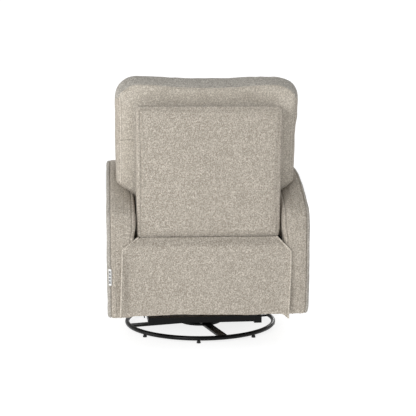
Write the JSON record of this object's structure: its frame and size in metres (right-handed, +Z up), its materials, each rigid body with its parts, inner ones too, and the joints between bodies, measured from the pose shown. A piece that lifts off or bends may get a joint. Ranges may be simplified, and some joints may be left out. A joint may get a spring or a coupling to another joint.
{
  "type": "glider nursery chair",
  "caption": "Upholstered swivel glider with a winged reclining back, pop-out footrest, side control buttons and a round steel floor base.",
  "frame": {"origin": "on the floor, on the swivel axis, at the middle of the chair's outer box", "axes": "+Z up, -Y the way the sitter faces, +X the sitter's left"},
  "size_m": [0.766, 0.824, 1.0353],
  "materials": {
    "boucle": "matte",
    "black_steel": "satin",
    "zinc": "satin",
    "plywood": "matte",
    "black_plastic": "matte",
    "grey_plastic": "satin",
    "pale_plastic": "satin",
    "rubber": "matte"
  },
  "bodies": {
    "base": {"base_ring": "black_steel", "base_spokes": "black_steel", "floor_foot_1": "rubber", "floor_foot_2": "rubber", "floor_foot_3": "rubber", "floor_foot_4": "rubber", "floor_foot_5": "rubber", "floor_foot_6": "rubber", "floor_foot_7": "rubber", "floor_foot_8": "rubber", "swivel_pedestal": "black_steel", "bearing_race": "zinc", "swivel_nut": "zinc"},
    "turntable": {"turntable_plate": "black_steel", "glide_rail_left": "black_steel", "glide_rail_right": "black_steel", "glide_stretcher_front": "black_steel", "glide_stretcher_rear": "black_steel"},
    "front_links": {"glide_link_front_left": "zinc", "glide_link_front_right": "zinc"},
    "rear_links": {"glide_link_rear_left": "zinc", "glide_link_rear_right": "zinc"},
    "carriage": {"carriage_rail_left": "black_steel", "carriage_rail_right": "black_steel", "carriage_crossmember_rear": "black_steel", "arm_cover_left": "boucle", "arm_cover_right": "boucle", "arm_board_left": "plywood", "arm_board_right": "plywood", "control_plate": "pale_plastic", "seat_frame": "black_steel", "seat_springs": "zinc", "seat_cushion": "boucle", "rear_flap": "boucle", "recline_motor": "black_plastic", "footrest_motor": "black_plastic"},
    "back": {"back_panel": "boucle", "back_frame": "black_steel", "back_cushion": "boucle", "wing_left": "boucle", "wing_right": "boucle"},
    "recline_rod": {"recline_rod": "zinc"},
    "footrest_rod": {"footrest_rod": "zinc"},
    "lift_arms": {"footrest_lift_arms": "zinc"},
    "cross_bars": {"footrest_cross_bar_left": "zinc", "footrest_cross_bar_right": "zinc"},
    "top_bars": {"footrest_top_bar_left": "zinc", "footrest_top_bar_right": "zinc"},
    "front_bars": {"footrest_front_bar_left": "zinc", "footrest_front_bar_right": "zinc"},
    "tilt_links": {"footrest_tilt_link_left": "zinc", "footrest_tilt_link_right": "zinc"},
    "footrest": {"footrest_board": "plywood", "footrest_pad": "boucle"},
    "button_1": {"control_button_1": "grey_plastic"},
    "button_2": {"control_button_2": "grey_plastic"},
    "button_3": {"control_button_3": "grey_plastic"},
    "button_4": {"control_button_4": "grey_plastic"}
  },
  "joints": [
    {"name": "swivel", "type": "hinge", "parent": "base", "child": "turntable", "pos_m": [0, 0, 0.05], "axis": [0, 0, 1], "continuous": true},
    {"name": "front_link_swing", "type": "hinge", "parent": "turntable", "child": "front_links", "pos_m": [0, -0.16, 0.225], "axis": [1, 0, 0], "range_deg": [-24, 24]},
    {"name": "rear_link_swing", "type": "hinge", "parent": "turntable", "child": "rear_links", "pos_m": [0, 0.16, 0.225], "axis": [1, 0, 0], "range_deg": [-24, 24]},
    {"name": "glide", "type": "hinge", "parent": "front_links", "child": "carriage", "pos_m": [0, -0.16, 0.115], "axis": [-1, 0, 0], "range_deg": [-24, 24]},
    {"name": "recline", "type": "hinge", "parent": "carriage", "child": "back", "pos_m": [0, 0.32, 0.405], "axis": [-1, 0, 0], "range_deg": [0, 32]},
    {"name": "recline_rod_slide", "type": "slide", "parent": "carriage", "child": "recline_rod", "axis": [0, -1, 0], "range_m": [0, 0.058]},
    {"name": "footrest_lift", "type": "hinge", "parent": "carriage", "child": "lift_arms", "pos_m": [0, -0.262, 0.3], "axis": [-1, 0, 0], "range_deg": [0, 68]},
    {"name": "footrest_rod_slide", "type": "slide", "parent": "carriage", "child": "footrest_rod", "axis": [0, -1, 0], "range_m": [0, 0.0672]},
    {"name": "cross_bar_turn", "type": "hinge", "parent": "lift_arms", "child": "cross_bars", "pos_m": [0, -0.27728, 0.21334], "axis": [-1, 0, 0], "range_deg": [-96, 0]},
    {"name": "top_bar_turn", "type": "hinge", "parent": "lift_arms", "child": "top_bars", "pos_m": [0, -0.29256, 0.12667], "axis": [-1, 0, 0], "range_deg": [-96, 0]},
    {"name": "front_bar_turn", "type": "hinge", "parent": "cross_bars", "child": "front_bars", "pos_m": [0, -0.29256, 0.3], "axis": [-1, 0, 0], "range_deg": [0, 96]},
    {"name": "tilt_link_turn", "type": "hinge", "parent": "front_bars", "child": "tilt_links", "pos_m": [0, -0.32347, 0.1247], "axis": [-1, 0, 0], "range_deg": [-79, 0]},
    {"name": "footrest_tilt", "type": "hinge", "parent": "top_bars", "child": "footrest", "pos_m": [0, -0.31859, 0.2743], "axis": [-1, 0, 0], "range_deg": [0, 120]},
    {"name": "button_1_press", "type": "slide", "parent": "carriage", "child": "button_1", "axis": [-0.7071, -0.7071, 0], "range_m": [0, 0.0012], "stiffness_N_per_m": 400},
    {"name": "button_2_press", "type": "slide", "parent": "carriage", "child": "button_2", "axis": [-0.7071, -0.7071, 0], "range_m": [0, 0.0012], "stiffness_N_per_m": 400},
    {"name": "button_3_press", "type": "slide", "parent": "carriage", "child": "button_3", "axis": [-0.7071, -0.7071, 0], "range_m": [0, 0.0012], "stiffness_N_per_m": 400},
    {"name": "button_4_press", "type": "slide", "parent": "carriage", "child": "button_4", "axis": [-0.7071, -0.7071, 0], "range_m": [0, 0.0012], "stiffness_N_per_m": 400}
  ],
  "couplings": [
    {"joint": "front_link_swing", "follows": "glide", "ratio": 1},
    {"joint": "rear_link_swing", "follows": "glide", "ratio": 1},
    {"joint": "recline_rod_slide", "follows": "recline", "m_per_rad": 0.1036},
    {"joint": "footrest_rod_slide", "follows": "footrest_lift", "m_per_rad": 0.0565},
    {"joint": "cross_bar_turn", "follows": "footrest_lift", "ratio": -1.4108},
    {"joint": "top_bar_turn", "follows": "footrest_lift", "ratio": -1.4108},
    {"joint": "front_bar_turn", "follows": "footrest_lift", "ratio": 1.4108},
    {"joint": "tilt_link_turn", "follows": "footrest_lift", "ratio": -1.1558},
    {"joint": "footrest_tilt", "follows": "footrest_lift", "ratio": 1.7633}
  ]
}
